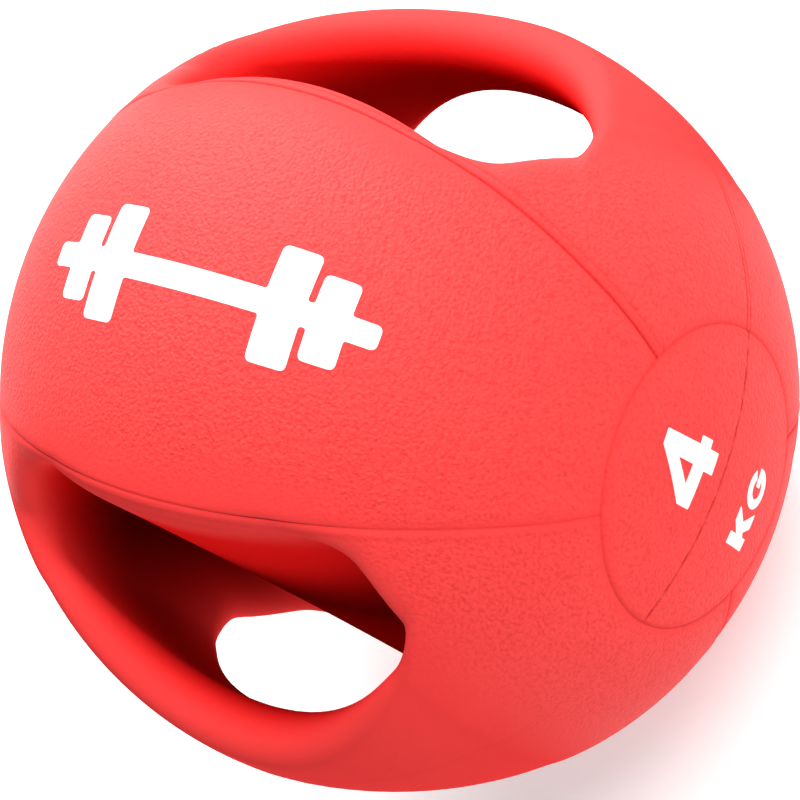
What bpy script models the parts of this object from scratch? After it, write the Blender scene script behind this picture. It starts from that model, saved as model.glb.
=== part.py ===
"""Dual-grip medicine ball, 4 kg: moulded rubber panels over a heavy rubber shell, winding and bladder.

Metres, +Z up. The ball's centre is the origin. +Z is the printed front panel, -Z the back panel it
rests on, +X and -X are the two grips, -Y the pole disc with the weight mark, +Y the disc with the valve.
"""

import math

import bmesh
import bpy
import numpy as np
from mathutils import Matrix, Vector

# ---------------------------------------------------------------- driving sizes, metres and degrees
BALL_RADIUS = 0.130
SKIN = 0.0040  # outer cover panels, well lining and grip skin
WEIGHT_WALL = 0.0091  # heavy rubber under the cover
WINDING_WALL = 0.0018
BLADDER_WALL = 0.0022
LAYER_GAP = 0.00035  # between one bonded layer and the next
SEAM_GAP = 0.0004  # between neighbouring pieces of one layer

PANEL_HALF_ANGLE = 32.0  # front and back panels, either side of the Z axis, seen along the Y axis
DISC_HALF_ANGLE = 22.4  # pole discs, from the Y axis

# The well under each grip, in ball radii
FLOOR_HEIGHT = 0.556
FLOOR_RISE_OUT = 0.012
FLOOR_DROP_ALONG = 0.434
WELL_HALF_LENGTH = 0.646
WELL_TAPER = -0.403
WELL_CORNER = 0.070
RIM_ROUNDING = 0.045
END_ROUNDING = 0.120  # the rim of the well's two ends
LINING_RIM_ROUNDING = 0.100

# The grip bar over the well, in ball radii
BAR_INNER = 0.843
BAR_ARC_CENTRE = -0.105
BAR_FLATTENING = 0.001
BAR_HALF_WIDTH = 0.125
BAR_WIDENING = 0.90
BAR_EDGE = 0.070
BAR_BLEND = 0.080

# The stiff core of each grip, in ball radii, with its ends set into the heavy rubber shell
CORE_INNER_SKIN = 0.031
CORE_OUTER_SKIN = 0.036
CORE_HALF_WIDTH = 0.092
CORE_END_ANGLE = 59.0  # degrees from the X axis
CORE_STATIONS = 20
CORE_SIDES = 14

VALVE_STEM_RADIUS = 0.0050
VALVE_FLANGE_RADIUS = 0.0110
VALVE_FLANGE_WALL = 0.0018
VALVE_BORE_RADIUS = 0.0022
VALVE_PLUG_CLEARANCE = 0.0003
VALVE_PROUD = 0.0003

PRINT_LIFT = 0.00015
PRINT_THICKNESS = 0.00028

COVER_TRIANGLES = 3900
LINING_TRIANGLES = 1600
CORE_TRIANGLES = 600


# ---------------------------------------------------------------- the ball as a distance field
def rounded_max(first, second, rounding):
    """The larger of two distances, with the edge where they meet rounded."""
    over_first = np.maximum(rounding + first, 0.0)
    over_second = np.maximum(rounding + second, 0.0)
    return np.minimum(-rounding, np.maximum(first, second)) + np.hypot(over_first, over_second)


def rounded_min(first, second, rounding):
    return -rounded_max(-first, -second, rounding)


def well_distance(across, along, out):
    """Below zero inside the well. The three arguments are distances from the middle, in ball radii."""
    slope = 2.0 * FLOOR_DROP_ALONG * along
    floor = FLOOR_HEIGHT + FLOOR_RISE_OUT * out**2 - FLOOR_DROP_ALONG * along**2
    above_floor = (floor - across) / np.sqrt(1.0 + slope**2)
    past_end = along - (WELL_HALF_LENGTH + WELL_TAPER * out**2)
    return rounded_max(above_floor, past_end, WELL_CORNER)


def bar_distance(across, along, out):
    radius = np.sqrt(across**2 + along**2 + out**2)
    inside_arc = (BAR_INNER - BAR_ARC_CENTRE) - np.hypot(across - BAR_ARC_CENTRE, along)
    middle = np.maximum(0.0, 1.0 - (along / 0.55) ** 2)
    past_face = radius - (1.0 - BAR_FLATTENING * middle)
    past_side = out - (BAR_HALF_WIDTH + BAR_WIDENING * along**2)
    section = rounded_max(inside_arc, past_face, BAR_EDGE)
    section = rounded_max(section, past_side, BAR_EDGE)
    return rounded_max(section, along - 0.85, 0.01)


def ball_distance(points, depth, rim, end_rim):
    """Distance to the surface `depth` ball radii under the outside. Only the outside has the grip bars."""
    across = np.abs(points[:, 0])
    along = np.abs(points[:, 1])
    out = np.abs(points[:, 2])
    radius = np.sqrt(across**2 + along**2 + out**2)
    share = np.clip((along - 0.35) / 0.2, 0.0, 1.0)
    rounding = rim + (end_rim - rim) * share**2 * (3.0 - 2.0 * share)
    body = rounded_max(radius - 1.0 + depth, depth - well_distance(across, along, out), rounding)
    if depth > 0.0:
        return body
    bar = np.where(across < 0.2, 1.0, bar_distance(across, along, out))
    blended = rounded_min(body, bar, BAR_BLEND)
    return np.maximum(blended, radius - 1.0)


# ---------------------------------------------------------------- surfaces from the distance field
def settled(points, distance, step):
    """The points moved along the slope of `distance` onto the surface where it is zero."""
    for _ in range(8):
        slope = np.zeros_like(points)
        for k in range(3):
            shift = np.zeros(3)
            shift[k] = 0.1 * step
            slope[:, k] = (distance(points + shift) - distance(points - shift)) / (0.2 * step)
        size = np.maximum((slope**2).sum(axis=1), 1e-6)
        move = -0.7 * (distance(points) / size)[:, None] * slope
        longest = np.maximum(np.linalg.norm(move, axis=1), 1e-12)
        points = points + move * np.minimum(1.0, 0.6 * step / longest)[:, None]
    return points


def surface_net(distance, half_size, cells):
    """A closed quad mesh where `distance` is zero, with each point moved onto that surface."""
    axis = (np.arange(cells + 1) / cells - 0.5) * 2.0 * half_size
    step = axis[1] - axis[0]
    grid = np.stack(np.meshgrid(axis, axis, axis, indexing="ij"), axis=-1)
    inside = (distance(grid.reshape(-1, 3)) < 0.0).reshape(grid.shape[:3])
    count = np.zeros((cells, cells, cells), int)
    for corner in np.ndindex(2, 2, 2):
        a, b, c = corner
        count += inside[a : a + cells, b : b + cells, c : c + cells]
    crossed = (count > 0) & (count < 8)
    number = np.full(crossed.shape, -1)
    number[crossed] = np.arange(crossed.sum())
    points = settled((np.argwhere(crossed) + 0.5) * step - half_size, distance, step)
    faces = []
    for k in range(3):
        u, v = (k + 1) % 3, (k + 2) % 3
        low = np.take(inside, np.arange(cells), axis=k)
        high = np.take(inside, np.arange(1, cells + 1), axis=k)
        for place in np.argwhere(low != high):
            corners = []
            for du, dv in ((-1, -1), (0, -1), (0, 0), (-1, 0)):
                cell = place.copy()
                cell[u] += du
                cell[v] += dv
                corners.append(number[tuple(cell)])
            if not low[tuple(place)]:
                corners.reverse()
            faces.append(corners)
    return points, faces


def mesh_object(name, points, faces):
    mesh = bpy.data.meshes.new(name)
    mesh.from_pydata([tuple(p) for p in points], [], [list(map(int, f)) for f in faces])
    mesh.update()
    obj = bpy.data.objects.new(name, mesh)
    bpy.context.scene.collection.objects.link(obj)
    return obj


def bake(obj):
    """Replaces the object's mesh by what its modifiers make of it."""
    bpy.context.view_layer.update()
    evaluated = obj.evaluated_get(bpy.context.evaluated_depsgraph_get())
    made = bpy.data.meshes.new_from_object(evaluated)
    obj.modifiers.clear()
    obj.data = made
    return obj


def ball_surface(name, depth, rim, end_rim, cells, triangles):
    """The surface `depth` metres under the outside of the ball, thinned to about `triangles`."""
    share = depth / BALL_RADIUS
    half_size = 1.08

    def distance(points):
        return ball_distance(points, share, rim, end_rim)

    points, faces = surface_net(distance, half_size, cells)
    obj = mesh_object(name, points * BALL_RADIUS, faces)
    thin = obj.modifiers.new("thin", "DECIMATE")
    thin.ratio = triangles / (2.0 * len(faces))
    thin.use_collapse_triangulate = True
    bake(obj)
    kept = np.array([v.co[:] for v in obj.data.vertices]) / BALL_RADIUS
    kept = settled(kept, distance, half_size / cells) * BALL_RADIUS
    for vertex, spot in zip(obj.data.vertices, kept):
        vertex.co = spot
    obj.data.update()
    return obj


def moved_in(source, name, distance):
    """A copy of a closed surface with every point moved inwards along its normal."""
    mesh = source.data.copy()
    normals = [v.normal.copy() for v in mesh.vertices]
    for vertex, normal in zip(mesh.vertices, normals):
        vertex.co = vertex.co - distance * normal
    obj = bpy.data.objects.new(name, mesh)
    bpy.context.scene.collection.objects.link(obj)
    return obj


def copy_of(source, name):
    return moved_in(source, name, 0.0)


def combine(obj, operation, *others):
    for other in others:
        cut = obj.modifiers.new(operation, "BOOLEAN")
        cut.operation = operation
        cut.solver = "EXACT"
        cut.object = other
        bake(obj)
    return obj


# ---------------------------------------------------------------- simple cutters
def prism(name, outline, half_length):
    """A prism along Y over an outline of (x, z) points."""
    points = [(x, -half_length, z) for x, z in outline]
    points += [(x, half_length, z) for x, z in outline]
    count = len(outline)
    faces = [list(range(count)), list(range(2 * count - 1, count - 1, -1))]
    for k in range(count):
        after = (k + 1) % count
        faces.append([k, k + count, after + count, after])
    return outward(mesh_object(name, points, faces))


def box(name, low, high):
    outline = ((low[0], low[2]), (high[0], low[2]), (high[0], high[2]), (low[0], high[2]))
    obj = prism(name, outline, 0.5 * (high[1] - low[1]))
    obj.data.transform(Matrix.Translation((0.0, 0.5 * (high[1] + low[1]), 0.0)))
    return obj


def outward(obj):
    shape = bmesh.new()
    shape.from_mesh(obj.data)
    bmesh.ops.remove_doubles(shape, verts=shape.verts, dist=1e-7)
    bmesh.ops.recalc_face_normals(shape, faces=shape.faces)
    shape.to_mesh(obj.data)
    shape.free()
    return obj


def turned(name, profile, sides):
    """A solid turned about the Y axis from a closed loop of (radius, y) points."""
    shape = bmesh.new()
    rings = []
    for radius, height in profile:
        if radius == 0.0:
            rings.append([shape.verts.new((0.0, height, 0.0))] * sides)
            continue
        ring = []
        for k in range(sides):
            angle = 2.0 * math.pi * k / sides
            ring.append(shape.verts.new((radius * math.cos(angle), height, radius * math.sin(angle))))
        rings.append(ring)
    for first, second in zip(rings, rings[1:] + rings[:1]):
        for k in range(sides):
            after = (k + 1) % sides
            corners = []
            for vertex in (first[k], first[after], second[after], second[k]):
                if vertex not in corners:
                    corners.append(vertex)
            if len(corners) > 2:
                shape.faces.new(corners)
    bmesh.ops.recalc_face_normals(shape, faces=shape.faces)
    mesh = bpy.data.meshes.new(name)
    shape.to_mesh(mesh)
    shape.free()
    obj = bpy.data.objects.new(name, mesh)
    bpy.context.scene.collection.objects.link(obj)
    return obj


def bent_core(name, sign, grow):
    """A solid bar that follows the grip's arc, with rounded corners. `grow` moves its surface out."""
    points = []
    for station in range(CORE_STATIONS + 1):
        angle = math.radians(CORE_END_ANGLE) * (2.0 * station / CORE_STATIONS - 1.0)
        angle *= 1.0 + grow / BALL_RADIUS
        arc_radius = BAR_INNER - BAR_ARC_CENTRE + CORE_INNER_SKIN
        reach = -BAR_ARC_CENTRE * math.cos(angle)
        inner = math.sqrt(arc_radius**2 - (BAR_ARC_CENTRE * math.sin(angle)) ** 2) - reach
        outer = 1.0 - BAR_FLATTENING - CORE_OUTER_SKIN
        middle = 0.5 * (inner + outer)
        half_wall = 0.5 * (outer - inner) + grow / BALL_RADIUS
        half_width = CORE_HALF_WIDTH + grow / BALL_RADIUS
        for side in range(CORE_SIDES):
            turn = 2.0 * math.pi * (side + 0.5) / CORE_SIDES
            along_wall = math.copysign(abs(math.cos(turn)) ** 0.6, math.cos(turn))
            along_width = math.copysign(abs(math.sin(turn)) ** 0.6, math.sin(turn))
            radius = (middle + half_wall * along_wall) * BALL_RADIUS
            height = half_width * along_width * BALL_RADIUS
            points.append((sign * radius * math.cos(angle), radius * math.sin(angle), height))
    faces = []
    for station in range(CORE_STATIONS):
        for side in range(CORE_SIDES):
            after = (side + 1) % CORE_SIDES
            low = station * CORE_SIDES
            high = low + CORE_SIDES
            faces.append([low + side, low + after, high + after, high + side])
    faces.append(list(range(CORE_SIDES)))
    faces.append([CORE_STATIONS * CORE_SIDES + k for k in reversed(range(CORE_SIDES))])
    return outward(mesh_object(name, points, faces))


def panel_wedge(name, sign, gap):
    """The region of the front (+1) or back (-1) panel, moved in by `gap` from each seam plane."""
    reach = 0.2
    lean = math.tan(math.radians(PANEL_HALF_ANGLE))
    start = gap / math.sin(math.radians(PANEL_HALF_ANGLE))
    half_width = lean * (reach - start)
    outline = ((0.0, sign * start), (half_width, sign * reach), (-half_width, sign * reach))
    return prism(name, outline, reach)


def disc_cone(name, sign, gap):
    """The cone that bounds a pole disc, its side moved in by `gap`."""
    reach = 0.2
    start = gap / math.sin(math.radians(DISC_HALF_ANGLE))
    width = math.tan(math.radians(DISC_HALF_ANGLE)) * (reach - start)
    return turned(name, ((0.0, sign * start), (width, sign * reach), (0.0, sign * reach)), 48)


# ---------------------------------------------------------------- printed marks
def flat_object(name, outlines):
    """A flat sheet inside a closed outline; a second outline inside the first leaves a hole."""
    shape = bmesh.new()
    for outline in outlines:
        ring = [shape.verts.new((u, v, 0.0)) for u, v in outline]
        for k in range(len(ring)):
            shape.edges.new((ring[k], ring[(k + 1) % len(ring)]))
    bmesh.ops.triangle_fill(shape, edges=shape.edges[:], use_beauty=True, normal=(0.0, 0.0, 1.0))
    mesh = bpy.data.meshes.new(name)
    shape.to_mesh(mesh)
    shape.free()
    obj = bpy.data.objects.new(name, mesh)
    bpy.context.scene.collection.objects.link(obj)
    return obj


def wrap_print(obj, centre, right, up, cell, shift=(0.0, 0.0)):
    """Cuts a flat shape into cells, thickens it and lays it on the ball round the direction `centre`."""
    shape = bmesh.new()
    shape.from_mesh(obj.data)
    bmesh.ops.remove_doubles(shape, verts=shape.verts, dist=1e-6)
    for axis in (0, 1):
        reach = max(abs(v.co[axis]) for v in shape.verts)
        for k in range(-int(reach / cell) - 1, int(reach / cell) + 1):
            normal = [0.0, 0.0, 0.0]
            normal[axis] = 1.0
            spot = [0.0, 0.0, 0.0]
            spot[axis] = (k + 0.31) * cell
            everything = shape.verts[:] + shape.edges[:] + shape.faces[:]
            bmesh.ops.bisect_plane(shape, geom=everything, plane_co=spot, plane_no=normal, dist=1e-6)
    bmesh.ops.triangulate(shape, faces=shape.faces)
    for face in shape.faces:
        if face.normal.z < 0.0:
            face.normal_flip()
    made = bmesh.ops.extrude_face_region(shape, geom=shape.faces[:])
    lifted = {part for part in made["geom"] if isinstance(part, bmesh.types.BMVert)}
    for vertex in shape.verts:
        u = vertex.co.x + shift[0]
        v = vertex.co.y + shift[1]
        length = math.hypot(u, v)
        angle = length / BALL_RADIUS
        flat = right * u + up * v
        aim = centre * math.cos(angle)
        if length > 0.0:
            aim = aim + flat * (math.sin(angle) / length)
        lift = PRINT_LIFT + (PRINT_THICKNESS if vertex in lifted else 0.0)
        vertex.co = aim * (BALL_RADIUS + lift)
    bmesh.ops.recalc_face_normals(shape, faces=shape.faces)
    if shape.calc_volume(signed=True) < 0.0:
        bmesh.ops.reverse_faces(shape, faces=shape.faces)
    shape.to_mesh(obj.data)
    shape.free()
    return obj


def dumbbell_outline():
    """A dumbbell seen from the side: a thin bar with two plates and a stub at each end."""
    upper = [
        (0.0270, 0.0042),
        (0.0270, 0.0195),
        (0.0410, 0.0195),
        (0.0410, 0.0042),
        (0.0435, 0.0042),
        (0.0435, 0.0145),
        (0.0560, 0.0145),
        (0.0560, 0.0042),
        (0.0665, 0.0042),
    ]
    right_side = upper + [(u, -v) for u, v in reversed(upper)]
    left_side = [(-u, v) for u, v in reversed(right_side)]
    return [right_side + left_side]


def number_4_outline():
    """The number 4 with its window."""
    around = [
        (0.0088, 0.0130),
        (0.0034, 0.0130),
        (-0.0117, -0.0022),
        (-0.0117, -0.0082),
        (0.0014, -0.0082),
        (0.0014, -0.0130),
        (0.0088, -0.0130),
        (0.0088, -0.0082),
        (0.0117, -0.0082),
        (0.0117, -0.0028),
        (0.0088, -0.0028),
    ]
    window = [(0.0019, 0.0048), (0.0019, -0.0024), (-0.0049, -0.0024)]
    return [around, window]


def letter_k_outline():
    return [
        [
            (-0.0064, 0.0064),
            (-0.0022, 0.0064),
            (-0.0022, 0.0022),
            (0.0014, 0.0064),
            (0.0063, 0.0064),
            (0.0022, 0.0008),
            (0.0064, -0.0064),
            (0.0014, -0.0064),
            (-0.0008, -0.0021),
            (-0.0022, -0.0034),
            (-0.0022, -0.0064),
            (-0.0064, -0.0064),
        ]
    ]


def letter_g_outline():
    """An open ring with a short bar into its middle."""
    ring = []
    for k in range(17):
        angle = math.radians(38.0 + 322.0 * k / 16)
        ring.append((0.0067 * math.cos(angle), 0.0065 * math.sin(angle)))
    ring += [(0.0067, 0.0013), (0.0006, 0.0013), (0.0006, -0.0014), (0.0031, -0.0014)]
    for k in range(13):
        angle = math.radians(325.0 - 283.0 * k / 12)
        ring.append((0.0034 * math.cos(angle), 0.0033 * math.sin(angle)))
    return [ring]


# ---------------------------------------------------------------- build
def clear_scene():
    for obj in list(bpy.data.objects):
        bpy.data.objects.remove(obj)


def finish_node(obj, name, colour, roughness, metallic=0.0):
    obj.name = name
    obj.data.name = name
    material = bpy.data.materials.new(name)
    material.use_nodes = True
    shader = material.node_tree.nodes["Principled BSDF"]
    shader.inputs["Base Color"].default_value = (*colour, 1.0)
    shader.inputs["Roughness"].default_value = roughness
    shader.inputs["Metallic"].default_value = metallic
    obj.data.materials.clear()
    obj.data.materials.append(material)
    obj.data.shade_smooth()
    obj.data.set_sharp_from_angle(angle=math.radians(40.0))
    return obj


def main():
    clear_scene()
    scene_objects = bpy.data.objects
    depth_lining = SKIN
    depth_core = SKIN + LAYER_GAP + WEIGHT_WALL

    outside = ball_surface("outside", 0.0, RIM_ROUNDING, END_ROUNDING, 72, COVER_TRIANGLES)
    lining = ball_surface("lining", depth_lining, LINING_RIM_ROUNDING, END_ROUNDING, 64, LINING_TRIANGLES)
    hollow = ball_surface("hollow", depth_core, LINING_RIM_ROUNDING, END_ROUNDING, 30, CORE_TRIANGLES)

    pole = BALL_RADIUS
    stem_hole = VALVE_STEM_RADIUS + LAYER_GAP
    bore_profile = (
        (0.0, 0.5 * pole),
        (stem_hole, 0.5 * pole),
        (stem_hole, 1.2 * pole),
        (0.0, 1.2 * pole),
    )
    bore = turned("bore", bore_profile, 24)

    # outer cover, one mesh first and then cut along the seams
    pockets = [bent_core("pocket", sign, 0.0) for sign in (1.0, -1.0)]
    cover = combine(copy_of(outside, "cover"), "DIFFERENCE", lining, *pockets)
    half_seam = 0.5 * SEAM_GAP
    cones_wide = [disc_cone("cone_wide", sign, -half_seam) for sign in (-1.0, 1.0)]
    red = (0.80, 0.075, 0.070)
    panels = {}
    for name, sign in (("front_panel", 1.0), ("back_panel", -1.0)):
        wedge = panel_wedge("wedge", sign, half_seam)
        panels[name] = combine(copy_of(cover, name + "_raw"), "INTERSECT", wedge)
        combine(panels[name], "DIFFERENCE", *cones_wide)
    wide_wedges = [panel_wedge("wedge_wide", sign, -half_seam) for sign in (-1.0, 1.0)]
    for name, sign in (("grip_panel_right", 1.0), ("grip_panel_left", -1.0)):
        edges = sorted((sign * half_seam, sign * 0.2))
        side = box("side", (edges[0], -0.2, -0.2), (edges[1], 0.2, 0.2))
        panels[name] = combine(copy_of(cover, name + "_raw"), "INTERSECT", side)
        combine(panels[name], "DIFFERENCE", *wide_wedges, *cones_wide)
    for name, sign in (("weight_mark_disc", -1.0), ("valve_disc", 1.0)):
        cone = disc_cone("cone", sign, half_seam)
        panels[name] = combine(copy_of(cover, name + "_raw"), "INTERSECT", cone)
    combine(panels["valve_disc"], "DIFFERENCE", bore)
    for name, obj in panels.items():
        finish_node(obj, name, red, 0.62)

    # heavy rubber shell in two halves, and the solid core of each grip
    heavy = combine(moved_in(lining, "heavy", LAYER_GAP), "DIFFERENCE", hollow, bore)
    for name, sign in (("grip_core_right", 1.0), ("grip_core_left", -1.0)):
        finish_node(bent_core(name, sign, -LAYER_GAP), name, (0.05, 0.05, 0.055), 0.8)
    for name, sign in (("weight_shell_front", 1.0), ("weight_shell_back", -1.0)):
        ends = sorted((sign * half_seam, sign * 0.2))
        half = box("half", (-0.2, -0.2, ends[0]), (0.2, 0.2, ends[1]))
        shell = combine(copy_of(heavy, name + "_raw"), "INTERSECT", half)
        combine(shell, "DIFFERENCE", *pockets)
        finish_node(shell, name, (0.06, 0.06, 0.065), 0.85)

    # winding and bladder, each a closed skin that the valve stem passes through
    depth = 2.0 * LAYER_GAP
    for name, wall, colour in (
        ("thread_winding", WINDING_WALL, (0.75, 0.72, 0.62)),
        ("bladder", BLADDER_WALL, (0.02, 0.02, 0.02)),
    ):
        layer = moved_in(hollow, name + "_raw", depth)
        combine(layer, "DIFFERENCE", moved_in(hollow, "inner", depth + wall), bore)
        finish_node(layer, name, colour, 0.7)
        depth += wall + LAYER_GAP
    bladder_inside = pole - depth_core - depth

    # valve: a rubber boot through every layer with the flange inside the bladder, and its plug
    top = pole + VALVE_PROUD
    flange_top = bladder_inside - 0.0012
    boot_end = flange_top - VALVE_FLANGE_WALL
    boot_profile = (
        (VALVE_BORE_RADIUS, boot_end),
        (VALVE_FLANGE_RADIUS, boot_end),
        (VALVE_FLANGE_RADIUS, flange_top),
        (VALVE_STEM_RADIUS, flange_top),
        (VALVE_STEM_RADIUS, top),
        (VALVE_BORE_RADIUS, top),
    )
    finish_node(turned("boot", boot_profile, 24), "valve_boot", (0.03, 0.03, 0.03), 0.6)
    plug_radius = VALVE_BORE_RADIUS - VALVE_PLUG_CLEARANCE
    plug_top = top - 0.0004
    plug_profile = (
        (0.0, boot_end + 0.006),
        (plug_radius, boot_end + 0.006),
        (plug_radius, plug_top),
        (0.0007, plug_top),
        (0.0005, plug_top - 0.010),
        (0.0, plug_top - 0.010),
    )
    finish_node(turned("plug", plug_profile, 16), "valve_plug", (0.10, 0.10, 0.11), 0.5)

    # printed marks
    white = (0.92, 0.92, 0.92)
    x_axis = Vector((1.0, 0.0, 0.0))
    y_axis = Vector((0.0, 1.0, 0.0))
    z_axis = Vector((0.0, 0.0, 1.0))
    emblem = flat_object("emblem", dumbbell_outline())
    wrap_print(emblem, z_axis, -y_axis, x_axis, 0.011, (0.0045, -0.0018))
    finish_node(emblem, "print_dumbbell", white, 0.5)
    for name, outlines, shift in (
        ("print_number_4", number_4_outline(), (0.0003, 0.0206)),
        ("print_letter_k", letter_k_outline(), (-0.0077, -0.0211)),
        ("print_letter_g", letter_g_outline(), (0.0062, -0.0220)),
    ):
        letter = flat_object(name, outlines)
        wrap_print(letter, -y_axis, x_axis, z_axis, 0.011, shift)
        finish_node(letter, name, white, 0.5)

    kept = set(panels) | {
        "grip_core_right",
        "grip_core_left",
        "weight_shell_front",
        "weight_shell_back",
        "thread_winding",
        "bladder",
        "valve_boot",
        "valve_plug",
        "print_dumbbell",
        "print_number_4",
        "print_letter_k",
        "print_letter_g",
    }
    for obj in list(scene_objects):
        if obj.name not in kept:
            scene_objects.remove(obj)


main()
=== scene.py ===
import math

import bmesh
import bpy
import numpy as np
from mathutils import Matrix, Vector


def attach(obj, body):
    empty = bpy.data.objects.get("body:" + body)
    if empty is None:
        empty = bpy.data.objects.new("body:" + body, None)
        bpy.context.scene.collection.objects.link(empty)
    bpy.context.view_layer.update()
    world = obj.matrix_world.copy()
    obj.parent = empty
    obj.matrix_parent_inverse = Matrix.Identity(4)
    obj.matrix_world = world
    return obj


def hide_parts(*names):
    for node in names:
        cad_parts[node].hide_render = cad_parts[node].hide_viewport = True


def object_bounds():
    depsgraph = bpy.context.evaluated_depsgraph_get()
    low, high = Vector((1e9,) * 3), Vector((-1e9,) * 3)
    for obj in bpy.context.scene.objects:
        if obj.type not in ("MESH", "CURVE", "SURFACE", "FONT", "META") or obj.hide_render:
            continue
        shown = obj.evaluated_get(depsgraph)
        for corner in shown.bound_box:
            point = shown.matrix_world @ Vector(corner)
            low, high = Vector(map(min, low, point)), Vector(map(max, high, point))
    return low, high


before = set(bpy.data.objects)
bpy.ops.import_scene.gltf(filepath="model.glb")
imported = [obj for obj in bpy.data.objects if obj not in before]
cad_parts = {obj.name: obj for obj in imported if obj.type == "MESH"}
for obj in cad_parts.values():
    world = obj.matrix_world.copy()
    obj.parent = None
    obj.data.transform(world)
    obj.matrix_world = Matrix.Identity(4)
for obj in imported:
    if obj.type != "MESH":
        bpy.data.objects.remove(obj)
cad_low, cad_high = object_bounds()

# ---------------------------------------------------------------- driving sizes
MM = 0.001
R = 0.130  # ball radius
SEAM = math.radians(32.0)  # front and back panels, either side of the Z axis
DISC = math.radians(22.4)  # pole discs, from the Y axis
VALVE_HOLE = 5.35 * MM

# The well under each grip, in ball radii
FLOOR_HEIGHT = 0.556
FLOOR_RISE_OUT = 0.012
FLOOR_DROP_ALONG = 0.434
WELL_HALF_LENGTH = 0.646
WELL_TAPER = 0.403
WELL_CORNER = 0.070
RIM_ROUNDING = 0.045
END_EXTRA_ROUNDING = 0.075  # the rim of the well's two ends is rounder by this much

# The grip bar over the well, in ball radii
BAR_ARC_RADIUS = 0.948
BAR_ARC_CENTRE = 0.105
BAR_FLATTENING = 0.001
BAR_FLAT_LENGTH = 0.55
BAR_HALF_WIDTH = 0.125
BAR_WIDENING = 0.90
BAR_EDGE = 0.070
BAR_HALF_LENGTH = 0.85
BAR_END_EDGE = 0.01
BAR_BLEND = 0.080
BAR_FREE_OF = 0.2  # nearer to the ball's middle than this there is no bar
SOFT_CLAMP = 0.008  # how gently the blend of bar and ball meets the ball's own outline

# Grooves and ridges in the cover. A width is where a groove has lost 63 % of its depth.
SEAM_WIDTH = 0.55 * MM
SEAM_DEPTH_LOW = 0.24
SEAM_DEPTH_GAIN = 0.16  # the seams of the +X side are deeper
SEAM_SHOULDER = 2.6 * MM
BEAD_OFFSET = 2.0 * MM
BEAD_WIDTH = 1.0 * MM
BEAD_HEIGHT = 0.20 * MM
SECOND_OFFSET = 3.6 * MM
SECOND_WIDTH = 0.40 * MM
SECOND_DEPTH = 0.13 * MM
DISC_WIDTH = 0.60 * MM
DISC_DEPTH = 0.32 * MM
DISC_SHOULDER = 2.8 * MM
LIP_OFFSET = 1.7 * MM
LIP_WIDTH = 0.9 * MM
LIP_HEIGHT = 0.20 * MM
PARTING_WANDER = 0.16 * MM
PARTING_WIDTH = 0.46 * MM
PARTING_DEPTH = 0.34 * MM
BAND_OFFSET = 1.05 * MM
BAND_WIDTH = 0.26 * MM
BAND_DEPTH = 0.26 * MM
FLASH_WIDTH = 0.8 * MM
FLASH_HEIGHT = 0.08 * MM

# Extra mesh edges beside a seam, and beside the parting line on the discs and on the grips
BESIDE_SEAM = (0.0, 0.22, 0.45, 0.70, 1.0, 1.5, 2.3, 3.4)
ACROSS_PARTING = (-0.9, -0.65, -0.45, -0.3, -0.15, 0.0, 0.15, 0.3, 0.45, 0.65, 0.9)
HALF_BAND = (0.5, 0.8, 0.95, 1.05, 1.15, 1.3, 1.55, 2.0)
ACROSS_BAND = [-offset for offset in reversed(HALF_BAND)] + [0.0] + list(HALF_BAND)
PANEL_STEP = 0.0125  # radians
DISC_SIDES = 200
PARTING_STEP = 1.05 * MM

INK_LOW = 0.02 * MM
INK_HIGH = 0.14 * MM
INK_CELL = 2.5 * MM


# ---------------------------------------------------------------- shape of the ball, in ball radii
def rounded_max(first, second, rounding):
    over_first = np.maximum(rounding + first, 0.0)
    over_second = np.maximum(rounding + second, 0.0)
    return np.minimum(-rounding, np.maximum(first, second)) + np.hypot(over_first, over_second)


def smooth(value, low, high):
    """0 below low, 1 above high, and an even S curve between them."""
    share = np.clip((value - low) / (high - low), 0.0, 1.0)
    return share * share * (3.0 - 2.0 * share)


def well_distance(across, along, out):
    """Below zero inside a well, which has a crowned floor and ends that lean in."""
    slope = 2.0 * FLOOR_DROP_ALONG * along
    floor = FLOOR_HEIGHT + FLOOR_RISE_OUT * out**2 - FLOOR_DROP_ALONG * along**2
    above_floor = (floor - across) / np.sqrt(1.0 + slope**2)
    past_end = along - (WELL_HALF_LENGTH - WELL_TAPER * out**2)
    return rounded_max(above_floor, past_end, WELL_CORNER)


def bar_distance(across, along, out):
    """Below zero inside a grip bar, which follows the ball's outline and widens to its ends."""
    radius = np.sqrt(across**2 + along**2 + out**2)
    inside_arc = BAR_ARC_RADIUS - np.hypot(across + BAR_ARC_CENTRE, along)
    middle = np.maximum(0.0, 1.0 - (along / BAR_FLAT_LENGTH) ** 2)
    past_face = radius - (1.0 - BAR_FLATTENING * middle)
    past_side = out - (BAR_HALF_WIDTH + BAR_WIDENING * along**2)
    section = rounded_max(inside_arc, past_face, BAR_EDGE)
    section = rounded_max(section, past_side, BAR_EDGE)
    return rounded_max(section, along - BAR_HALF_LENGTH, BAR_END_EDGE)


def ball_distance(points):
    """Below zero inside the ball with its wells and bars."""
    across = np.abs(points[:, 0])
    along = np.abs(points[:, 1])
    out = np.abs(points[:, 2])
    radius = np.sqrt(across**2 + along**2 + out**2)
    rounding = RIM_ROUNDING + END_EXTRA_ROUNDING * smooth(along, 0.35, 0.55)
    body = rounded_max(radius - 1.0, -well_distance(across, along, out), rounding)
    bar = np.where(across < BAR_FREE_OF, 1.0, bar_distance(across, along, out))
    blended = -rounded_max(-body, -bar, BAR_BLEND)
    proud = np.maximum(radius - 1.0 - blended, 0.0)
    gentle = proud**2 / (2.0 * SOFT_CLAMP)
    return blended + np.where(proud < SOFT_CLAMP, gentle, proud - SOFT_CLAMP / 2.0)


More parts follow.
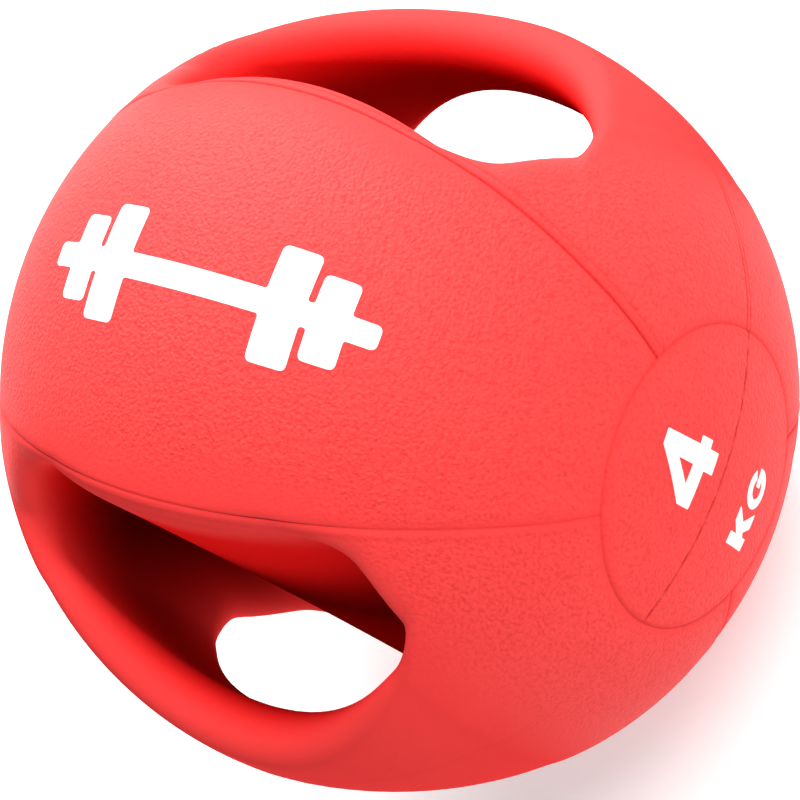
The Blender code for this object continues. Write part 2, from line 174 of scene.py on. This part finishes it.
def ball_slope(points, shift_size):
    """Differences of the ball's distance along X, Y and Z, over twice the shift."""
    slope = np.zeros_like(points)
    for k in range(3):
        shift = np.zeros(3)
        shift[k] = shift_size
        slope[:, k] = ball_distance(points + shift) - ball_distance(points - shift)
    return slope


# ---------------------------------------------------------------- seams, parting line and grain
def groove(distance, width):
    return np.exp(-((distance / width) ** 2))


def ripple(a, b, seed):
    """A smooth, uneven value between -1 and 1 that changes over about one unit of a and b."""
    total = 0.7 * np.sin(1.00 * a + 0.37 * b + seed)
    total = total + 0.6 * np.sin(-0.71 * a + 1.23 * b + 2.1 * seed)
    total = total + 0.5 * np.sin(1.63 * a - 0.52 * b + 0.7 * seed)
    total = total + 0.4 * np.sin(2.41 * a + 1.91 * b + 3.3 * seed)
    return total / 2.2


def relief(points):
    """How far each surface point moves out, in metres, and its shares for the material."""
    x, y, z = points[:, 0] / R, points[:, 1] / R, points[:, 2] / R
    radius = np.sqrt(x * x + y * y + z * z)
    polar = np.arccos(np.clip(np.abs(y) / radius, 0.0, 1.0))
    to_disc = (polar - DISC) * R
    to_seam = (np.abs(x) * math.cos(SEAM) - np.abs(z) * math.sin(SEAM)) * R
    on_ball = smooth(radius, 0.955, 0.985)
    off_disc = smooth(to_disc, -0.0004, 0.0006)
    seam_side = smooth(x, -0.2, 0.3)

    # seams between the panels, each with a bead and a second fine line beside it
    seam = groove(to_seam, SEAM_WIDTH) * off_disc * on_ball
    shoulder = groove(to_seam, SEAM_SHOULDER) * off_disc * on_ball
    bead = groove(to_seam - BEAD_OFFSET, BEAD_WIDTH) * off_disc * on_ball
    second = groove(to_seam - SECOND_OFFSET, SECOND_WIDTH) * off_disc * on_ball
    height = -(SEAM_DEPTH_LOW + SEAM_DEPTH_GAIN * seam_side) * MM * seam - 0.08 * MM * shoulder
    height = height + BEAD_HEIGHT * bead - SECOND_DEPTH * second

    # rim of each pole disc, with a raised lip inside it
    disc = groove(to_disc, DISC_WIDTH) * on_ball
    disc_shoulder = groove(to_disc, DISC_SHOULDER) * on_ball
    lip = groove(to_disc + LIP_OFFSET, LIP_WIDTH) * on_ball
    height = height - DISC_DEPTH * disc - 0.04 * MM * disc_shoulder + LIP_HEIGHT * lip

    # parting line: one ragged line on the discs, a narrow band between two lines elsewhere
    wander = PARTING_WANDER * ripple(x * 34.0, y * 11.0, 1.3)
    ragged = np.clip(0.55 + 0.45 * ripple(x * 95.0, y * 60.0, 4.2), 0.12, 1.0)
    single = groove(z * R - wander, PARTING_WIDTH) * (1.0 - off_disc) * ragged
    strength = (0.18 + 0.82 * smooth(x, -0.05, 0.05)) * smooth(radius, 0.93, 0.97)
    uneven = 0.75 + 0.25 * ripple(x * 40.0, y * 31.0, 2.2)
    from_parting = np.abs(z) * R
    double = groove(from_parting - BAND_OFFSET, BAND_WIDTH) * off_disc * strength * uneven
    flash = groove(from_parting, FLASH_WIDTH) * off_disc * strength
    height = height - PARTING_DEPTH * single - BAND_DEPTH * double + FLASH_HEIGHT * flash

    # dark: dirt in the grooves and parting line, plus painted shade that makes the seams of the +X
    # side darker; grain: leather grain, which fades towards wells, bars and seams
    dark = (0.20 + 0.65 * seam_side) * (seam + 0.55 * second) + 0.22 * disc
    dark = np.clip(dark + 1.5 * single + 1.0 * double, 0.0, 1.0)
    well = well_distance(np.abs(x), np.abs(y), np.abs(z))
    grain = smooth(well, 0.0, 0.20) * smooth(radius, 0.965, 0.995)
    grain = grain * (1.0 - 0.85 * groove(to_seam, SEAM_SHOULDER) * off_disc)
    grain = grain * (1.0 - 0.6 * disc_shoulder)

    # inside and the well shade: painted shade in the wells, a deeper red for light bounced inside
    # them, darkest halfway through them
    inside = 1.0 - smooth(radius, 0.84, 0.97)
    # painted shade fades towards the openings, and reaches further towards the -Z opening than the
    # +Z one
    open_end = np.where(z > 0.0, smooth(z, 0.0, 0.46), smooth(-z, 0.62, 0.98))
    depth = (1.0 - smooth(radius, 0.80, 0.96)) * (1.0 - open_end)
    return height, {"groove": dark, "grain": grain, "inside": inside, "depth": depth}


# ---------------------------------------------------------------- mesh helpers
def settled(points, step):
    """The points moved onto the ball's surface, by at most a share of the step at a time."""
    for _ in range(8):
        slope = ball_slope(points, 0.1 * step) / (0.2 * step)
        size = np.maximum((slope**2).sum(axis=1), 1e-6)
        move = -0.7 * (ball_distance(points) / size)[:, None] * slope
        longest = np.maximum(np.linalg.norm(move, axis=1), 1e-12)
        points = points + move * np.minimum(1.0, 0.6 * step / longest)[:, None]
    return points


def surface_net(low, high, step):
    """Points on the ball's surface and the quads between them, inside a box, one point a cell."""
    counts = [int(round((h - l) / step)) for l, h in zip(low, high)]
    axes = [l + step * np.arange(n + 1) for l, n in zip(low, counts)]
    inside = np.zeros([n + 1 for n in counts], bool)
    for i, x in enumerate(axes[0]):
        y, z = np.meshgrid(axes[1], axes[2], indexing="ij")
        sheet = np.stack([np.full(y.size, x), y.ravel(), z.ravel()], axis=1)
        inside[i] = (ball_distance(sheet) < 0.0).reshape(y.shape)
    n0, n1, n2 = counts
    corners_inside = np.zeros(counts, np.int8)
    for a, b, c in np.ndindex(2, 2, 2):
        corners_inside += inside[a : a + n0, b : b + n1, c : c + n2]
    crossed = (corners_inside > 0) & (corners_inside < 8)
    number = np.full(counts, -1)
    number[crossed] = np.arange(crossed.sum())
    points = settled((np.argwhere(crossed) + 0.5) * step + np.array(low), step)
    faces = []
    for k in range(3):
        u, v = (k + 1) % 3, (k + 2) % 3
        first = np.take(inside, np.arange(counts[k]), axis=k)
        second = np.take(inside, np.arange(1, counts[k] + 1), axis=k)
        places = np.argwhere(first != second)
        whole = (places[:, u] > 0) & (places[:, v] > 0)
        whole &= (places[:, u] < counts[u]) & (places[:, v] < counts[v])
        places = places[whole]
        corners = []
        for du, dv in ((-1, -1), (0, -1), (0, 0), (-1, 0)):
            cell = places.copy()
            cell[:, u] += du
            cell[:, v] += dv
            corners.append(number[cell[:, 0], cell[:, 1], cell[:, 2]])
        quads = np.stack(corners, axis=1)
        solid_first = first[places[:, 0], places[:, 1], places[:, 2]]
        quads[~solid_first] = quads[~solid_first][:, ::-1]
        faces.append(quads)
    return points, np.concatenate(faces)


def mesh_of(name, points, faces):
    mesh = bpy.data.meshes.new(name)
    mesh.from_pydata(points, [], faces)
    mesh.update()
    return mesh


def object_of(name, mesh):
    obj = bpy.data.objects.new(name, mesh)
    bpy.context.scene.collection.objects.link(obj)
    return obj


def coordinates(mesh):
    flat = np.zeros(len(mesh.vertices) * 3)
    mesh.vertices.foreach_get("co", flat)
    return flat.reshape(-1, 3)


def cut_along(shape, spot, normal, reach, region=None):
    """Adds an edge line where a plane crosses the faces that lie within reach of it."""
    spot, normal = Vector(spot), Vector(normal).normalized()
    near = []
    for face in shape.faces:
        centre = face.calc_center_median()
        if abs((centre - spot).dot(normal)) < reach and (region is None or region(centre)):
            near.append(face)
    edges = {edge for face in near for edge in face.edges}
    points = {vertex for face in near for vertex in face.verts}
    parts = list(points) + list(edges) + near
    bmesh.ops.bisect_plane(shape, geom=parts, plane_co=spot, plane_no=normal, dist=0.02 * MM)


def shaped(mesh):
    """Moves each point by the relief along the ball's own normal, and stores the shares."""
    points = coordinates(mesh)
    slope = ball_slope(points / R, 0.002)
    slope /= np.maximum(np.linalg.norm(slope, axis=1), 1e-9)[:, None]
    height, shares = relief(points)
    mesh.vertices.foreach_set("co", (points + slope * height[:, None]).ravel())
    for name, values in shares.items():
        layer = mesh.attributes.new(name, "FLOAT", "POINT")
        layer.data.foreach_set("value", values.astype(np.float32))
    mesh.shade_smooth()
    mesh.update()
    return mesh


def spread(low, high, step, fine_low, fine_high):
    """Angles from low to high, close together near the ends that are marked fine."""
    count = max(2, int(round((high - low) / step)))
    even = [low + (high - low) * k / count for k in range(count + 1)]
    near = [offset * MM / R for offset in BESIDE_SEAM]
    marks = []
    if fine_low:
        marks += [low + offset for offset in near]
    if fine_high:
        marks += [high - offset for offset in near]
    rough = [place for place in even if all(abs(place - mark) > 0.45 * step for mark in marks)]
    return sorted(rough + marks)


# ---------------------------------------------------------------- covers
def lune_panel(name, sign):
    """The front or back panel, as a grid of longitude round the Y axis against latitude."""
    ends = math.pi / 2 - DISC
    longs = spread(-SEAM, SEAM, PANEL_STEP, True, True)
    lats = spread(-ends, ends, PANEL_STEP, True, True)
    grid_long, grid_lat = np.meshgrid(longs, lats, indexing="ij")
    x = np.sin(grid_long) * np.cos(grid_lat) * R
    y = np.sin(grid_lat) * R
    z = np.cos(grid_long) * np.cos(grid_lat) * R * sign
    points = np.stack([x.ravel(), y.ravel(), z.ravel()], axis=1)
    points = settled(points / R, 0.01) * R
    index = np.arange(x.size).reshape(x.shape)
    corners = [index[:-1, :-1], index[1:, :-1], index[1:, 1:], index[:-1, 1:]]
    quads = np.stack(corners, axis=-1).reshape(-1, 4)
    if sign < 0:
        quads = quads[:, ::-1]
    return object_of(name, shaped(mesh_of(name, points.tolist(), quads.tolist())))


def disc_panel(name, sign, hole):
    """A pole disc, as rings round the Y axis, with the parting line cut in across it."""
    rings = spread(hole / R, DISC, PANEL_STEP, hole > 0.0, True)
    if hole == 0.0:
        rings = rings[1:]
    angles = 2.0 * math.pi * np.arange(DISC_SIDES) / DISC_SIDES
    points = []
    for ring in rings:
        flat = math.sin(ring) * R
        height = sign * math.cos(ring) * R
        points += [(flat * math.cos(a), height, flat * math.sin(a)) for a in angles]
    faces = []
    for k in range(len(rings) - 1):
        for s in range(DISC_SIDES):
            here, after = k * DISC_SIDES + s, k * DISC_SIDES + (s + 1) % DISC_SIDES
            faces.append([here, after, after + DISC_SIDES, here + DISC_SIDES])
    if hole == 0.0:
        points.append((0.0, sign * R, 0.0))
        for s in range(DISC_SIDES):
            faces.append([len(points) - 1, (s + 1) % DISC_SIDES, s])
    if sign < 0.0:
        faces = [face[::-1] for face in faces]
    mesh = mesh_of(name, points, faces)
    shape = bmesh.new()
    shape.from_mesh(mesh)
    for offset in ACROSS_PARTING:
        cut_along(shape, (0, 0, offset * MM), (0, 0, 1), 4 * MM)
    for k in range(-44, 45):
        spot = (k * PARTING_STEP, 0, 0)
        cut_along(shape, spot, (1, 0, 0), 4 * MM, lambda centre: abs(centre.z) < 1.2 * MM)
    outwards = Vector((0.0, sign, 0.0))
    for face in shape.faces:
        if face.normal.dot(outwards) < 0.0:
            face.normal_flip()
    shape.to_mesh(mesh)
    shape.free()
    return object_of(name, shaped(mesh))


def side_mesh(name):
    """The cover of the +X side with its well and grip bar, cut out between seams and discs."""
    step, cells = ((0.0155, 72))
    inner = 0.05
    low = (inner, -cells * step, -cells * step)
    high = (inner + step * math.ceil((1.06 - inner) / step), cells * step, cells * step)
    points, faces = surface_net(low, high, step)
    mesh = mesh_of(name, (points * R).tolist(), faces.tolist())
    shape = bmesh.new()
    shape.from_mesh(mesh)
    for side in (1.0, -1.0):
        normal = (math.cos(SEAM), 0.0, -side * math.sin(SEAM))

        def near_seam(centre, side=side):
            return centre.z * side > 0.02 and centre.length > 0.97 * R

        for offset in BESIDE_SEAM:
            cut_along(shape, Vector(normal) * offset * MM, normal, 6 * MM, near_seam)
    for side in (1.0, -1.0):
        for offset in BESIDE_SEAM:
            turn = DISC + offset * MM / R
            cut_along(shape, (0, side * math.cos(turn) * R, 0), (0, 1, 0), 8 * MM)
        if side < 0.0:
            continue
        for offset in ACROSS_BAND:
            spot = (0, 0, offset * MM)
            cut_along(shape, spot, (0, 0, 1), 5 * MM, lambda centre: centre.length > 0.9 * R)
    gone = []
    for face in shape.faces:
        centre = face.calc_center_median()
        if centre.length < 0.9 * R:
            continue
        past_seam = centre.x * math.cos(SEAM) < abs(centre.z) * math.sin(SEAM)
        if past_seam or abs(centre.y) > math.cos(DISC) * R:
            gone.append(face)
    bmesh.ops.delete(shape, geom=gone, context="FACES")
    shape.to_mesh(mesh)
    shape.free()
    return mesh


# ---------------------------------------------------------------- materials
class Nodes:
    """A new material with short ways to add and join its nodes."""

    def __init__(self, name):
        self.material = bpy.data.materials.new(name)
        self.material.use_nodes = True
        self.nodes = self.material.node_tree.nodes
        self.links = self.material.node_tree.links
        self.shader = self.nodes["Principled BSDF"]
        self.place = self.nodes.new("ShaderNodeTexCoord").outputs["Object"]

    def set(self, socket, value):
        if isinstance(value, tuple):
            socket.default_value = (*value, 1.0)
        elif isinstance(value, (int, float)):
            socket.default_value = value
        else:
            self.links.new(value, socket)

    def shade(self, **values):
        for name, value in values.items():
            self.set(self.shader.inputs[name.replace("_", " ")], value)

    def math(self, operation, *values):
        node = self.nodes.new("ShaderNodeMath")
        node.operation = operation
        for socket, value in zip(node.inputs, values):
            self.set(socket, value)
        return node.outputs[0]

    def mix(self, factor, first, second):
        node = self.nodes.new("ShaderNodeMix")
        node.data_type = "RGBA"
        self.set(node.inputs[0], factor)
        self.set(node.inputs[6], first)
        self.set(node.inputs[7], second)
        return node.outputs[2]

    def noise(self, scale, detail=3.0, roughness=0.55):
        node = self.nodes.new("ShaderNodeTexNoise")
        node.inputs["Scale"].default_value = scale
        node.inputs["Detail"].default_value = detail
        node.inputs["Roughness"].default_value = roughness
        self.links.new(self.place, node.inputs["Vector"])
        return node

    def share(self, name):
        node = self.nodes.new("ShaderNodeAttribute")
        node.attribute_name = name
        return node.outputs["Fac"]

    def bump(self, height, strength, distance):
        node = self.nodes.new("ShaderNodeBump")
        node.inputs["Strength"].default_value = strength
        node.inputs["Distance"].default_value = distance
        self.links.new(height, node.inputs["Height"])
        self.links.new(node.outputs["Normal"], self.shader.inputs["Normal"])


def cover_rubber():
    """Coral red rubber with a leather grain and dirt in its grooves, with painted highlight and
    shade on the grain and painted shade on the +X seams and in the wells.
    """
    made = Nodes("cover_rubber")
    grain = made.share("grain")

    # leather grain: rounded pebbles about 1.5 mm across between fine wrinkles
    warped = made.nodes.new("ShaderNodeVectorMath")
    warped.operation = "MULTIPLY_ADD"
    made.links.new(made.noise(240.0, 2.0).outputs["Color"], warped.inputs[0])
    warped.inputs[1].default_value = (0.0022, 0.0022, 0.0022)
    made.links.new(made.place, warped.inputs[2])
    cells = made.nodes.new("ShaderNodeTexVoronoi")
    cells.feature = "SMOOTH_F1"
    cells.inputs["Scale"].default_value = 760.0
    cells.inputs["Smoothness"].default_value = 0.35
    made.links.new(warped.outputs[0], cells.inputs["Vector"])
    pebble = made.math("SUBTRACT", 1.0, cells.outputs["Distance"])
    wrinkle = made.noise(700.0, 2.5).outputs["Fac"]
    fine = made.noise(1700.0, 2.0, 0.5).outputs["Fac"]
    height = made.math("ADD", made.math("MULTIPLY", pebble, 0.55), wrinkle)
    height = made.math("MULTIPLY", height, made.math("MULTIPLY_ADD", grain, 0.92, 0.08))
    height = made.math("ADD", height, made.math("MULTIPLY", fine, 0.12))
    made.bump(height, 1.0, 0.0006)

    # colour: even red, with a painted highlight on the grain's tops and painted shade in the creases
    # between them
    broad = made.noise(26.0).outputs["Fac"]
    colour = made.mix(broad, (0.90, 0.056, 0.053), (0.86, 0.048, 0.047))
    grain_top_highlight = made.math("MULTIPLY", made.math("MULTIPLY", wrinkle, grain), 0.35)
    colour = made.mix(grain_top_highlight, colour, (0.95, 0.075, 0.070))
    crease = made.nodes.new("ShaderNodeMapRange")
    crease.inputs["From Min"].default_value = 0.52
    crease.inputs["From Max"].default_value = 0.36
    made.links.new(wrinkle, crease.inputs["Value"])
    crease_shade = made.math("MULTIPLY", crease.outputs["Result"], grain)
    colour = made.mix(made.math("MULTIPLY", crease_shade, 0.38), colour, (0.70, 0.018, 0.022))
    # dirt in the grooves, with painted shade that darkens the seams of the +X side more
    uneven = made.math("ADD", made.noise(900.0, 2.0).outputs["Fac"], 0.35)
    joint_dirt_and_shade = made.math("MULTIPLY", made.share("groove"), uneven)
    colour = made.mix(joint_dirt_and_shade, colour, (0.42, 0.008, 0.010))
    # painted shade in the wells: a deeper red for light bounced inside them, then darkest halfway
    # through them
    colour = made.mix(made.share("inside"), colour, (0.84, 0.010, 0.010))
    colour = made.mix(made.share("depth"), colour, (0.15, 0.0004, 0.0004))
    made.shade(Base_Color=colour)
    made.shade(Roughness=made.math("MULTIPLY_ADD", wrinkle, 0.10, 0.52))
    made.shade(Specular_IOR_Level=made.math("MULTIPLY", grain, 0.10))
    return made.material


def printed_ink():
    made = Nodes("white_print")
    broad = made.noise(60.0, 2.0).outputs["Fac"]
    made.bump(made.noise(520.0, 3.0, 0.6).outputs["Fac"], 0.18, 0.0003)
    made.shade(Base_Color=made.mix(broad, (0.94, 0.94, 0.94), (0.90, 0.91, 0.92)), Roughness=0.42)
    return made.material


def plain_rubber(name, colour, roughness, scale):
    made = Nodes(name)
    speck = made.noise(scale, 4.0).outputs["Fac"]
    lighter = tuple(min(1.0, 1.5 * c + 0.01) for c in colour)
    made.bump(speck, 0.3, 0.0003)
    made.shade(Base_Color=made.mix(speck, colour, lighter), Roughness=roughness)
    return made.material


def thread(name, colour):
    made = Nodes(name)
    strands = made.nodes.new("ShaderNodeTexWave")
    strands.inputs["Scale"].default_value = 340.0
    strands.inputs["Distortion"].default_value = 5.0
    strands.inputs["Detail Scale"].default_value = 0.4
    made.links.new(made.place, strands.inputs["Vector"])
    made.bump(strands.outputs["Fac"], 0.6, 0.0006)
    darker = tuple(0.6 * c for c in colour)
    made.shade(Base_Color=made.mix(strands.outputs["Fac"], darker, colour), Roughness=0.8)
    return made.material


def studio_floor():
    """A pale, faintly glowing floor, which keeps its own shadow light."""
    made = Nodes("studio_floor")
    faint = made.noise(2.0, 2.0).outputs["Fac"]
    made.shade(Base_Color=made.mix(faint, (0.64, 0.64, 0.64), (0.66, 0.66, 0.66)))
    made.shade(Roughness=0.9, Specular_IOR_Level=0.1)
    made.shade(Emission_Color=(1.0, 1.0, 1.0), Emission_Strength=0.52)
    return made.material


# ---------------------------------------------------------------- printed marks
def rounded_outline(corners, radius, steps=5):
    """A closed outline through (u, v, radius scale) corners with each corner rounded."""
    made = []
    count = len(corners)
    for k in range(count):
        here = Vector(corners[k][:2])
        before = Vector(corners[k - 1][:2])
        after = Vector(corners[(k + 1) % count][:2])
        scale = corners[k][2] if len(corners[k]) > 2 else 1.0
        to_before = (before - here).normalized()
        to_after = (after - here).normalized()
        reach = radius * scale / math.tan(to_before.angle(to_after) / 2)
        reach = min(reach, 0.45 * (before - here).length, 0.45 * (after - here).length)
        start = here + to_before * reach
        end = here + to_after * reach
        for s in range(steps + 1):
            share = s / steps
            made.append(start.lerp(here, share).lerp(here.lerp(end, share), share))
    return made


def flat_shape(outlines):
    """A flat mesh filled between closed outlines; an outline inside another leaves a hole."""
    shape = bmesh.new()
    for outline in outlines:
        ring = [shape.verts.new((point[0], point[1], 0.0)) for point in outline]
        for k in range(len(ring)):
            shape.edges.new((ring[k], ring[(k + 1) % len(ring)]))
    bmesh.ops.triangle_fill(shape, edges=shape.edges[:], use_beauty=True, normal=(0, 0, 1))
    for face in shape.faces:
        if face.normal.z < 0.0:
            face.normal_flip()
    return shape


def ink_piece(name, outlines, centre, right, up, shift):
    """Lays a flat print on the ball as a thin closed layer of ink."""
    shape = flat_shape(outlines)
    for axis in (0, 1):
        lines = int(max(abs(v.co[axis]) for v in shape.verts) / INK_CELL) + 1
        for k in range(-lines, lines + 1):
            normal, spot = [0.0, 0.0, 0.0], [0.0, 0.0, 0.0]
            normal[axis] = 1.0
            spot[axis] = (k + 0.31) * INK_CELL
            everything = shape.verts[:] + shape.edges[:] + shape.faces[:]
            bmesh.ops.bisect_plane(shape, geom=everything, plane_co=spot, plane_no=normal, dist=1e-6)
    bmesh.ops.triangulate(shape, faces=shape.faces[:])
    extruded = bmesh.ops.extrude_face_region(shape, geom=shape.faces[:])
    lifted = {part for part in extruded["geom"] if isinstance(part, bmesh.types.BMVert)}
    for vertex in shape.verts:
        u = vertex.co.x + shift[0]
        v = vertex.co.y + shift[1]
        length = max(math.hypot(u, v), 1e-9)
        angle = length / R
        aim = centre * math.cos(angle) + (right * u + up * v) * (math.sin(angle) / length)
        vertex.co = aim * (R + (INK_HIGH if vertex in lifted else INK_LOW))
    bmesh.ops.recalc_face_normals(shape, faces=shape.faces[:])
    if shape.calc_volume(signed=True) < 0.0:
        bmesh.ops.reverse_faces(shape, faces=shape.faces[:])
    mesh = bpy.data.meshes.new(name)
    shape.to_mesh(mesh)
    shape.free()
    mesh.shade_smooth()
    mesh.set_sharp_from_angle(angle=math.radians(50.0))
    return object_of(name, mesh)


def dumbbell_outlines():
    """A dumbbell from the side: handle, and two plates and an end stub on each side."""
    handle, stub_end = 0.0042, 0.0665
    plates = ((0.0270, 0.0410, 0.0195), (0.0435, 0.0560, 0.0145))
    upper = []
    for start, end, height in plates:
        upper += [(start, handle, 0.5), (start, height), (end, height), (end, handle, 0.5)]
    upper.append((stub_end, handle))
    right_side = upper + [(c[0], -c[1], *c[2:]) for c in reversed(upper)]
    left_side = [(-c[0], c[1], *c[2:]) for c in reversed(right_side)]
    return [rounded_outline(right_side + left_side, 2.4 * MM)]


def four_outlines():
    """The number 4, bold and wide, with its window."""
    around = [
        (0.0088, 0.0130), (0.0034, 0.0130), (-0.0117, -0.0022), (-0.0117, -0.0082),
        (0.0014, -0.0082), (0.0014, -0.0130), (0.0088, -0.0130), (0.0088, -0.0082),
        (0.0117, -0.0082), (0.0117, -0.0028), (0.0088, -0.0028),
    ]
    window = [(0.0019, 0.0048), (0.0019, -0.0024), (-0.0049, -0.0024)]
    return [rounded_outline(around, 0.35 * MM, 3), rounded_outline(window, 0.15 * MM, 3)]


def letter_k_outlines():
    corners = [
        (-0.0064, 0.0064), (-0.0022, 0.0064), (-0.0022, 0.0022), (0.0014, 0.0064),
        (0.0063, 0.0064), (0.0022, 0.0008), (0.0064, -0.0064), (0.0014, -0.0064),
        (-0.0008, -0.0021), (-0.0022, -0.0034), (-0.0022, -0.0064), (-0.0064, -0.0064),
    ]
    return [rounded_outline(corners, 0.25 * MM, 3)]


def letter_g_outlines():
    """The letter G as an open ring with a short bar into its middle."""
    ring = []
    for k in range(33):
        angle = math.radians(38.0 + 322.0 * k / 32)
        ring.append((0.0067 * math.cos(angle), 0.0065 * math.sin(angle)))
    ring += [(0.0067, 0.0013), (0.0006, 0.0013), (0.0006, -0.0014), (0.0031, -0.0014)]
    for k in range(25):
        angle = math.radians(325.0 - 283.0 * k / 24)
        ring.append((0.0034 * math.cos(angle), 0.0033 * math.sin(angle)))
    return [ring]


# ---------------------------------------------------------------- build
X, Y, Z = Vector((1, 0, 0)), Vector((0, 1, 0)), Vector((0, 0, 1))

right_mesh = side_mesh("grip_cover_right")
left_mesh = right_mesh.copy()
left_mesh.transform(Matrix.Diagonal((-1.0, 1.0, 1.0, 1.0)))
left_mesh.flip_normals()
left_mesh.name = "grip_cover_left"

cover = cover_rubber()
covers = {
    "front_panel": lune_panel("front_cover", 1.0),
    "back_panel": lune_panel("back_cover", -1.0),
    "weight_mark_disc": disc_panel("weight_mark_disc_cover", -1.0, 0.0),
    "valve_disc": disc_panel("valve_disc_cover", 1.0, VALVE_HOLE),
    "grip_panel_right": object_of("grip_cover_right", shaped(right_mesh)),
    "grip_panel_left": object_of("grip_cover_left", shaped(left_mesh)),
}
for node, piece in covers.items():
    piece.data.materials.append(cover)
    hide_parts(node)
    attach(piece, "root")

ink = printed_ink()
four, letter_k, letter_g = four_outlines(), letter_k_outlines(), letter_g_outlines()
prints = {
    "print_dumbbell": ink_piece("dumbbell_ink", dumbbell_outlines(), Z, -Y, X, (0.0045, -0.0018)),
    "print_number_4": ink_piece("number_4_ink", four, -Y, X, Z, (-0.0009, 0.0193)),
    "print_letter_k": ink_piece("letter_k_ink", letter_k, -Y, X, Z, (-0.0089, -0.0236)),
    "print_letter_g": ink_piece("letter_g_ink", letter_g, -Y, X, Z, (0.0049, -0.0243)),
}
for node, piece in prints.items():
    piece.data.materials.append(ink)
    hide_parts(node)
    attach(piece, "root")

# The inner pieces and the valve are shown as they are in the CAD
heavy = plain_rubber("heavy_rubber", (0.045, 0.045, 0.048), 0.8, 900.0)
core = plain_rubber("core_rubber", (0.030, 0.030, 0.032), 0.7, 500.0)
bladder_skin = plain_rubber("bladder_rubber", (0.015, 0.015, 0.016), 0.45, 300.0)
node_materials = {
    "weight_shell_front": heavy,
    "weight_shell_back": heavy,
    "grip_core_right": core,
    "grip_core_left": core,
    "thread_winding": thread("winding_thread", (0.72, 0.68, 0.56)),
    "bladder": bladder_skin,
    "valve_boot": bladder_skin,
    "valve_plug": core,
}
for node, material in node_materials.items():
    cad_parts[node].data.materials.clear()
    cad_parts[node].data.materials.append(material)

# ---------------------------------------------------------------- floor, light and camera
floor_shape = bmesh.new()
bmesh.ops.create_circle(floor_shape, cap_ends=True, segments=96, radius=14.0)
floor_mesh = bpy.data.meshes.new("floor")
floor_shape.to_mesh(floor_mesh)
floor_shape.free()
floor_mesh.materials.append(studio_floor())
floor = object_of("floor", floor_mesh)
floor.location.z = cad_low.z - 0.4 * MM

scene = bpy.context.scene
scene.view_settings.view_transform = "Standard"
scene.view_settings.look = "None"
world = bpy.data.worlds.new("studio")
scene.world = world
world.use_nodes = True
world.node_tree.nodes["Background"].inputs["Color"].default_value = (1.0, 1.0, 1.0, 1.0)
world.node_tree.nodes["Background"].inputs["Strength"].default_value = 0.20


def right_angled(back, up):
    """The view's back, up and right as three unit vectors at right angles."""
    back = back.normalized()
    right = up.cross(back).normalized()
    return back, back.cross(right).normalized(), right


back, up, right = right_angled(Vector((-0.1194, -0.5874, 0.8004)), Vector((0.9304, 0.2152, 0.2968)))
back, up, right = right_angled(back - up * 0.0048 + right * 0.0004, up + right * 0.0026)


def lamp(name, direction, distance, size, power):
    """A round soft lamp that faces the ball's middle."""
    data = bpy.data.lights.new(name, "AREA")
    data.shape = "DISK"
    data.size = size
    data.energy = power
    obj = object_of(name, data)
    obj.location = direction.normalized() * distance
    obj.rotation_mode = "QUATERNION"
    obj.rotation_quaternion = direction.to_track_quat("Z", "Y")


lamp("key", back * 0.95 + up * 0.34 - right * 0.02, 3.0, 1.3, 80.0)
lamp("top", up * 0.90 + back * 0.42 - right * 0.60, 2.2, 1.8, 56.0)
lamp("rim", up * 0.90 - right * 0.45 - back * 0.15, 2.2, 1.2, 50.0)

CAMERA_DISTANCE = 17.5  # ball radii
BALL_SHARE = 0.4990  # the ball's radius as a share of the picture's width
camera = bpy.data.cameras.new("camera")
camera.sensor_width = 36.0
camera.lens = BALL_SHARE * math.sqrt(CAMERA_DISTANCE**2 - 1.0) * camera.sensor_width
camera.clip_start = 0.1
camera.clip_end = 60.0
camera.shift_x = 0.0014
camera.shift_y = -0.0045
camera_object = object_of("camera", camera)
turn = Matrix((right, up, back)).transposed().to_4x4()
turn.translation = back * CAMERA_DISTANCE * R
camera_object.matrix_world = turn
scene.camera = camera_object
